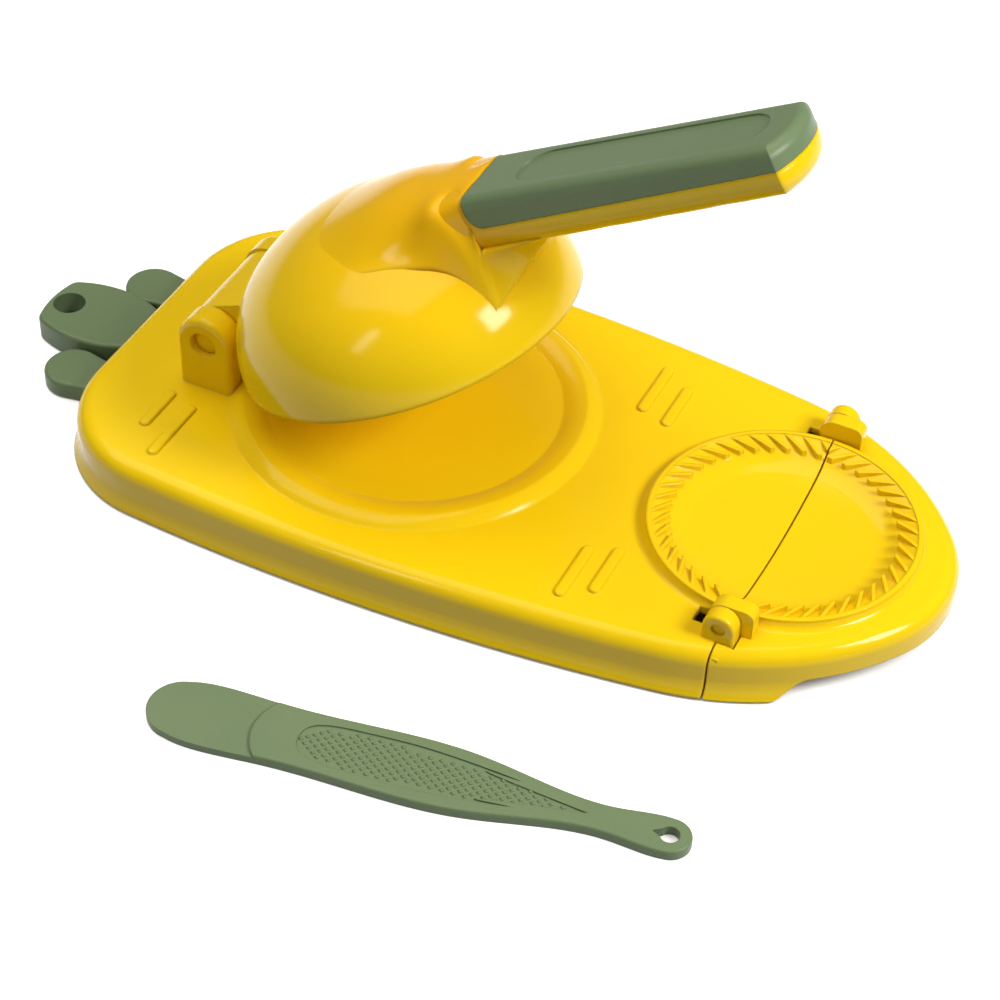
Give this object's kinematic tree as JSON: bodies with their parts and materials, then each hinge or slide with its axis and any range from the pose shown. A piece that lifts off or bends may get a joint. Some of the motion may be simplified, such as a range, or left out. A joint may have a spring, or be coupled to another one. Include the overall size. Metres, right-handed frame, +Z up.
{
  "type": "dumpling press",
  "caption": "Carrot-shaped two-station dumpling press: a domed lid on a handle flattens dough in a well, and a hinged tip folds and crimps the wrapper.",
  "frame": {"origin": "axis of the round dough well at table level, on the underside of the centre foot", "axes": "+X from the leaf to the tip, +Y to the back, +Z up"},
  "size_m": [0.3116, 0.2148, 0.1573],
  "materials": {
    "yellow_plastic": "gloss",
    "green_plastic": "satin",
    "foot_rubber": "matt",
    "screw_steel": "zinc plated"
  },
  "bodies": {
    "base": {"base_tray": "yellow_plastic", "leaf_tab": "green_plastic", "leaf_screws": "screw_steel", "centre_foot": "foot_rubber", "corner_foot_left_front": "foot_rubber", "corner_foot_left_back": "foot_rubber", "corner_foot_right_front": "foot_rubber", "corner_foot_right_back": "foot_rubber"},
    "lid": {"lid_shell": "yellow_plastic", "handle_cover": "green_plastic", "handle_screws": "screw_steel", "press_plate": "yellow_plastic", "lid_hinge_pin_front": "yellow_plastic", "lid_hinge_pin_back": "yellow_plastic"},
    "flap": {"mould_flap": "yellow_plastic", "flap_hinge_pin_front": "yellow_plastic", "flap_hinge_pin_back": "yellow_plastic", "flap_foot_front": "foot_rubber", "flap_foot_back": "foot_rubber"},
    "spatula": {"filling_spatula": "green_plastic"}
  },
  "joints": [
    {"name": "lid_hinge", "type": "hinge", "parent": "base", "child": "lid", "pos_m": [-0.061, 0, 0.0344], "axis": [0, -1, 0], "range_deg": [-22, 78]},
    {"name": "flap_hinge", "type": "hinge", "parent": "base", "child": "flap", "pos_m": [0.1227, 0, 0.0215], "axis": [0, -1, 0], "range_deg": [0, 180]},
    {"name": "spatula_lift", "type": "slide", "parent": "base", "child": "spatula", "axis": [0, 0, 1], "range_m": [0, 0.1]}
  ]
}
